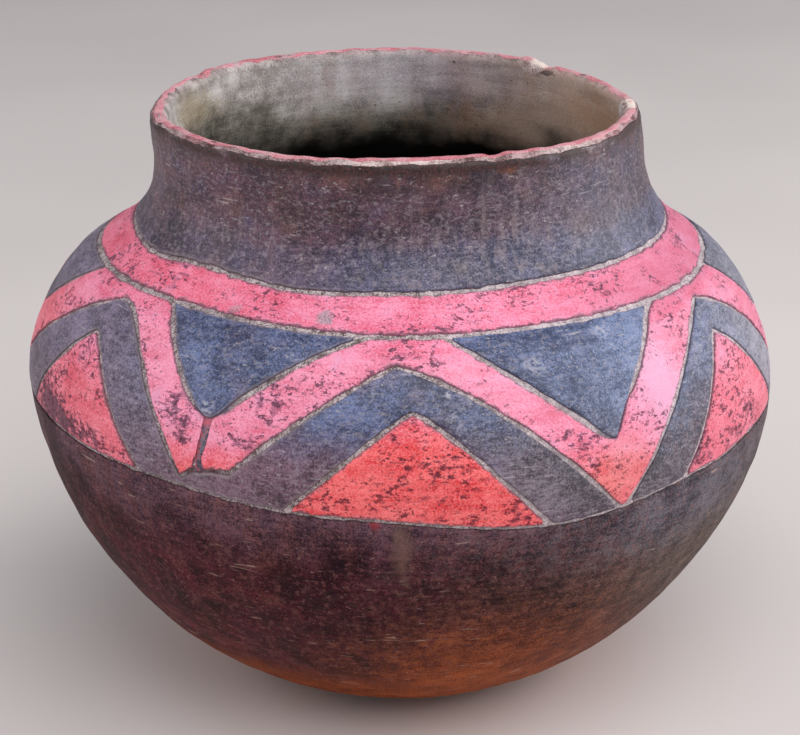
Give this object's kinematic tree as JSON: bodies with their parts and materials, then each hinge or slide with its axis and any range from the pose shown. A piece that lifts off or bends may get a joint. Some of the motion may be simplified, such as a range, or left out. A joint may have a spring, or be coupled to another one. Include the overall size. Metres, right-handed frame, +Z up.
{
  "type": "clay pot",
  "caption": "Round-bellied hand-built clay jar with a short neck and plain rounded lip, dark burnished slip, and a red collar, zigzag and triangles between incised lines.",
  "frame": {"origin": "middle of the flat that the jar stands on", "axes": "+Z up along the jar's axis, -Y towards the side that the picture shows, +X to the right of that view"},
  "size_m": [0.3412, 0.3412, 0.269],
  "materials": {
    "fired_clay": "low-fired bare clay, gritty and matte",
    "graphite_slip": "burnished dark graphite slip, soft sheen",
    "red_ochre_slip": "burnished red ochre slip, worn and flecked"
  },
  "bodies": {
    "root": {"base_bowl": "fired_clay", "lower_wall_course": "fired_clay", "belly_course": "fired_clay", "shoulder_course": "fired_clay", "collar_course": "fired_clay", "neck_course": "fired_clay", "lip_coil": "fired_clay", "lower_body_graphite_coat": "graphite_slip", "neck_graphite_coat": "graphite_slip", "lip_ochre_coat": "red_ochre_slip", "collar_ochre_band": "red_ochre_slip", "zigzag_ochre_band": "red_ochre_slip", "triangle_ochre_panel_1": "red_ochre_slip", "lower_graphite_panel_1": "graphite_slip", "upper_graphite_panel_1": "graphite_slip", "triangle_ochre_panel_2": "red_ochre_slip", "lower_graphite_panel_2": "graphite_slip", "upper_graphite_panel_2": "graphite_slip", "triangle_ochre_panel_3": "red_ochre_slip", "lower_graphite_panel_3": "graphite_slip", "upper_graphite_panel_3": "graphite_slip", "triangle_ochre_panel_4": "red_ochre_slip", "lower_graphite_panel_4": "graphite_slip", "upper_graphite_panel_4": "graphite_slip", "triangle_ochre_panel_5": "red_ochre_slip", "lower_graphite_panel_5": "graphite_slip", "upper_graphite_panel_5": "graphite_slip", "triangle_ochre_panel_6": "red_ochre_slip", "lower_graphite_panel_6": "graphite_slip", "upper_graphite_panel_6": "graphite_slip"}
  },
  "joints": []
}
